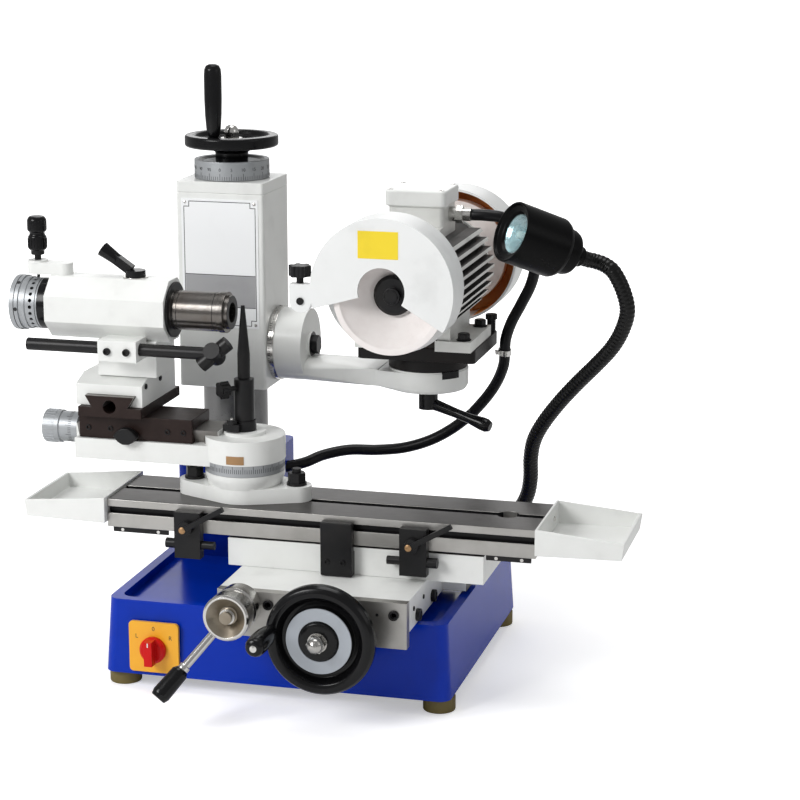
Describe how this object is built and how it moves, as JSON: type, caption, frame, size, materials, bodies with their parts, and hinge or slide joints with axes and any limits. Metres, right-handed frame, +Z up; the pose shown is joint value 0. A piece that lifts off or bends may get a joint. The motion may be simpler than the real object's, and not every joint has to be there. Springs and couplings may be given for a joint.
{
  "type": "bench tool and cutter grinder",
  "caption": "Bench grinder for drill bits and milling cutters: blue cast base, column with swivelling motor head, cup wheel, sliding table and indexing workhead.",
  "frame": {"origin": "centre of the rectangle of the four foot bolts, on the bench under the feet", "axes": "+X along the table to the operator's right, +Y away from the operator, +Z up"},
  "size_m": [0.7512, 0.6094, 0.7159],
  "materials": {
    "blue_paint": "satin enamel on cast iron",
    "white_paint": "smooth white enamel",
    "black_paint": "black enamel",
    "foot_metal": "olive-brown feet",
    "way_iron": "planed cast iron",
    "ground_steel": "ground steel",
    "plated_steel": "bright plated steel",
    "dark_steel": "blackened steel",
    "dial_metal": "matt dial metal",
    "bronze": "turned bronze",
    "motor_aluminium": "cast aluminium",
    "black_plastic": "moulded black plastic",
    "cable_rubber": "smooth black sheath",
    "switch_yellow": "yellow plate",
    "switch_red": "red knob",
    "wheel_grit": "bonded abrasive",
    "brown_slide": "dark brown enamel"
  },
  "bodies": {
    "stand": {"base_casting": "blue_paint", "base_feet": "foot_metal", "cross_ways": "way_iron", "column_post": "ground_steel", "elevation_nut": "bronze", "switch_plate": "switch_yellow", "lamp_gooseneck": "black_plastic", "lamp_shade": "black_paint", "motor_cable_lower": "cable_rubber"},
    "switch": {"switch_knob": "switch_red"},
    "column_head": {"head_housing": "white_paint", "head_cap": "white_paint"},
    "lift_wheel": {"elevation_screw": "ground_steel", "elevation_dial": "dial_metal", "elevation_handwheel": "black_plastic"},
    "lift_grip": {"elevation_grip": "black_plastic"},
    "arm": {"wheelhead_arm": "white_paint", "arm_scale_ring": "dark_steel"},
    "arm_lever": {"arm_clamp_lever": "black_plastic"},
    "grinder": {"motor_plate": "black_paint", "motor_frame": "motor_aluminium", "motor_end_bells": "motor_aluminium", "terminal_box": "white_paint", "terminal_cover": "white_paint", "cable_gland": "plated_steel", "motor_cable_upper": "cable_rubber", "rear_guard": "white_paint"},
    "wheel_guard": {"front_guard": "white_paint"},
    "rotor": {"motor_shaft": "ground_steel", "cup_wheel": "wheel_grit", "wheel_flange": "dark_steel", "rear_wheel": "wheel_grit"},
    "cross": {"cross_slide": "white_paint", "saddle": "white_paint", "apron": "ground_steel", "travel_dog": "dark_steel"},
    "cross_wheel": {"cross_feed_screw": "plated_steel", "cross_handwheel": "black_plastic"},
    "crank_grip": {"cross_grip": "black_plastic"},
    "feed": {"feed_pinion": "plated_steel", "feed_lever": "plated_steel"},
    "work_table": {"table": "ground_steel", "table_rack": "dark_steel", "table_trays": "white_paint"},
    "left_stop": {"stop_left": "dark_steel"},
    "right_stop": {"stop_right": "dark_steel"},
    "workhead_foot": {"swivel_foot": "white_paint", "foot_bolts": "dark_steel"},
    "workhead_arm": {"swing_arm": "white_paint"},
    "infeed_slide": {"lower_slide": "brown_slide", "cross_way_block": "brown_slide"},
    "infeed_screw": {"slide_screw": "dial_metal"},
    "workhead": {"head_bracket": "white_paint", "spindle_housing": "white_paint"},
    "work_spindle_set": {"work_spindle": "ground_steel", "index_disc": "dial_metal"},
    "plunger": {"index_plunger": "black_plastic"},
    "head_lever": {"housing_lever": "black_plastic"},
    "rod": {"rest_rod": "dark_steel"},
    "rest": {"tooth_rest": "dark_steel"}
  },
  "joints": [
    {"name": "switch_turn", "type": "hinge", "parent": "stand", "child": "switch", "pos_m": [-0.146, -0.19, 0.052], "axis": [0, 1, 0], "range_deg": [-60, 60]},
    {"name": "head_elevation", "type": "slide", "parent": "stand", "child": "column_head", "axis": [0, 0, 1], "range_m": [-0.07, 0.06], "deforming": ["motor_cable_upper", "motor_cable_lower"]},
    {"name": "elevation_wheel_turn", "type": "hinge", "parent": "column_head", "child": "lift_wheel", "pos_m": [-0.137, 0.099, 0.6], "axis": [0, 0, 1], "range_deg": [-5050, 4350]},
    {"name": "elevation_grip_spin", "type": "hinge", "parent": "lift_wheel", "child": "lift_grip", "pos_m": [-0.149, 0.067, 0.62], "axis": [0, 0, 1], "continuous": true},
    {"name": "arm_tilt", "type": "hinge", "parent": "column_head", "child": "arm", "pos_m": [-0.08, 0.099, 0.367], "axis": [1, 0, 0], "range_deg": [-15, 15], "deforming": ["motor_cable_upper", "motor_cable_lower"]},
    {"name": "arm_clamp_turn", "type": "hinge", "parent": "arm", "child": "arm_lever", "pos_m": [0.115, 0.099, 0.3], "axis": [0, 0, 1], "range_deg": [-35, 35]},
    {"name": "wheelhead_swivel", "type": "hinge", "parent": "arm", "child": "grinder", "pos_m": [0.115, 0.099, 0.35], "axis": [0, 0, 1], "range_deg": [-30, 5], "deforming": ["motor_cable_upper", "motor_cable_lower"]},
    {"name": "guard_turn", "type": "hinge", "parent": "grinder", "child": "wheel_guard", "pos_m": [0.115, -0.043, 0.467], "axis": [0, 1, 0], "range_deg": [-20, 40]},
    {"name": "spindle_spin", "type": "hinge", "parent": "grinder", "child": "rotor", "pos_m": [0.115, 0.08, 0.467], "axis": [0, 1, 0], "continuous": true},
    {"name": "cross_travel", "type": "slide", "parent": "stand", "child": "cross", "axis": [0, 1, 0], "range_m": [-0.095, 0.025]},
    {"name": "cross_wheel_turn", "type": "hinge", "parent": "cross", "child": "cross_wheel", "pos_m": [0.082, -0.25, 0.11], "axis": [0, 1, 0], "range_deg": [-6900, 1850]},
    {"name": "crank_grip_spin", "type": "hinge", "parent": "cross_wheel", "child": "crank_grip", "pos_m": [0.02784, -0.3, 0.11955], "axis": [0, 1, 0], "continuous": true},
    {"name": "table_travel", "type": "slide", "parent": "cross", "child": "work_table", "axis": [1, 0, 0], "range_m": [-0.034, 0.045]},
    {"name": "feed_lever_turn", "type": "hinge", "parent": "cross", "child": "feed", "pos_m": [-0.024, -0.2, 0.131], "axis": [0, 1, 0], "range_deg": [-70.5, 93]},
    {"name": "left_stop_slide", "type": "slide", "parent": "work_table", "child": "left_stop", "axis": [1, 0, 0], "range_m": [-0.03, 0.03]},
    {"name": "right_stop_slide", "type": "slide", "parent": "work_table", "child": "right_stop", "axis": [1, 0, 0], "range_m": [-0.006, 0.06]},
    {"name": "workhead_shift", "type": "slide", "parent": "work_table", "child": "workhead_foot", "axis": [1, 0, 0], "range_m": [-0.05, 0.04]},
    {"name": "workhead_swivel", "type": "hinge", "parent": "workhead_foot", "child": "workhead_arm", "pos_m": [-0.064, -0.0835, 0.25], "axis": [0, 0, 1], "range_deg": [-12, 60]},
    {"name": "infeed_travel", "type": "slide", "parent": "workhead_arm", "child": "infeed_slide", "axis": [1, 0, 0], "range_m": [-0.008, 0.006]},
    {"name": "infeed_screw_turn", "type": "hinge", "parent": "workhead_arm", "child": "infeed_screw", "pos_m": [-0.29, -0.0835, 0.289], "axis": [1, 0, 0], "range_deg": [-1460, 1100]},
    {"name": "workhead_cross", "type": "slide", "parent": "infeed_slide", "child": "workhead", "axis": [0, 1, 0], "range_m": [-0.03, 0.015]},
    {"name": "work_spindle_turn", "type": "hinge", "parent": "workhead", "child": "work_spindle_set", "pos_m": [-0.2, -0.0835, 0.44], "axis": [1, 0, 0], "continuous": true},
    {"name": "plunger_travel", "type": "slide", "parent": "workhead", "child": "plunger", "axis": [0, 0, 1], "range_m": [-0.005, 0]},
    {"name": "head_lever_turn", "type": "hinge", "parent": "workhead", "child": "head_lever", "pos_m": [-0.197, -0.0835, 0.478], "axis": [0, 0, 1], "range_deg": [-30, 30]},
    {"name": "rod_slide", "type": "slide", "parent": "workhead", "child": "rod", "axis": [1, 0, 0], "range_m": [-0.03, 0.024]},
    {"name": "rest_turn", "type": "hinge", "parent": "workhead_arm", "child": "rest", "pos_m": [-0.064, -0.0835, 0.3], "axis": [0, 0, 1], "range_deg": [-45, 45]}
  ],
  "couplings": [
    {"joint": "elevation_wheel_turn", "follows": "head_elevation", "rad_per_m": 1256.6},
    {"joint": "cross_wheel_turn", "follows": "cross_travel", "rad_per_m": 1256.6},
    {"joint": "feed_lever_turn", "follows": "table_travel", "rad_per_m": 35.714},
    {"joint": "infeed_screw_turn", "follows": "infeed_travel", "rad_per_m": 3141.6}
  ]
}
